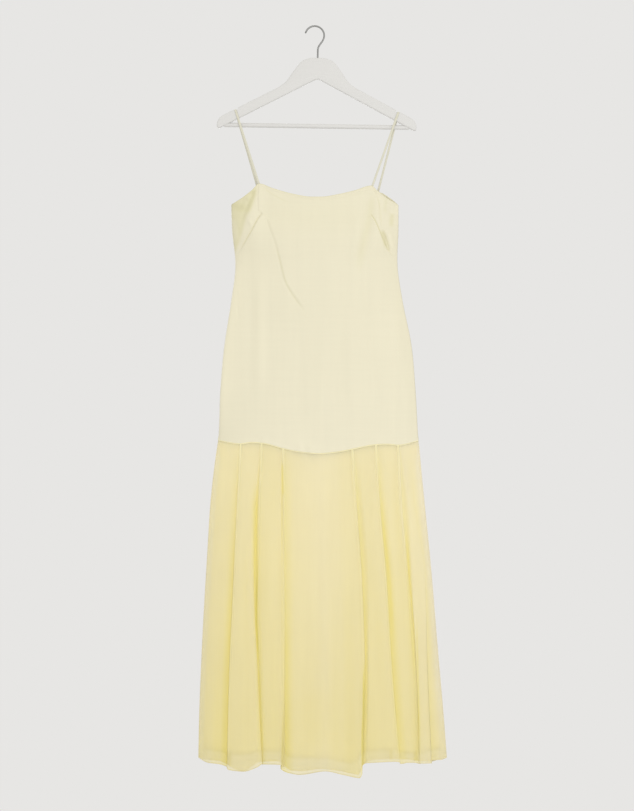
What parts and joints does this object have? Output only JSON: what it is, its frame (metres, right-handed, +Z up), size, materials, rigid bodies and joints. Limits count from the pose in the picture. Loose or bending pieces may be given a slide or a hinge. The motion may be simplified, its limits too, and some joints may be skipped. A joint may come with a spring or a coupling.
{
  "type": "drop-waist maxi dress on a hanger",
  "caption": "Sleeveless drop-waist maxi dress with thin straps, a plain satin bodice and a lined, panelled chiffon skirt, hung on a white wooden hanger.",
  "frame": {"origin": "inner top of the hook's arc, where the hanger is held", "axes": "+Z up, -Y towards the dress's front, +X to the right as seen from the front"},
  "size_m": [0.5556, 0.1092, 1.6758],
  "materials": {
    "painted_wood": "white satin paint on wood",
    "steel_wire": "polished",
    "satin": "pale yellow satin, soft gloss",
    "chiffon": "pale yellow chiffon, matt, slightly see-through",
    "lining": "pale yellow plain lining"
  },
  "bodies": {
    "root": {"hanger_body": "painted_wood", "hanger_bar": "painted_wood", "hanger_hook": "steel_wire", "strap_left": "satin", "strap_right": "satin", "bodice_front": "satin", "bodice_back": "satin", "skirt_front_centre": "chiffon", "skirt_back_centre": "chiffon", "skirt_front_left_1": "chiffon", "skirt_front_left_2": "chiffon", "skirt_front_left_3": "chiffon", "skirt_front_right_1": "chiffon", "skirt_front_right_2": "chiffon", "skirt_front_right_3": "chiffon", "skirt_back_left_1": "chiffon", "skirt_back_left_2": "chiffon", "skirt_back_left_3": "chiffon", "skirt_back_right_1": "chiffon", "skirt_back_right_2": "chiffon", "skirt_back_right_3": "chiffon", "skirt_lining_front": "lining", "skirt_lining_back": "lining"}
  },
  "joints": []
}
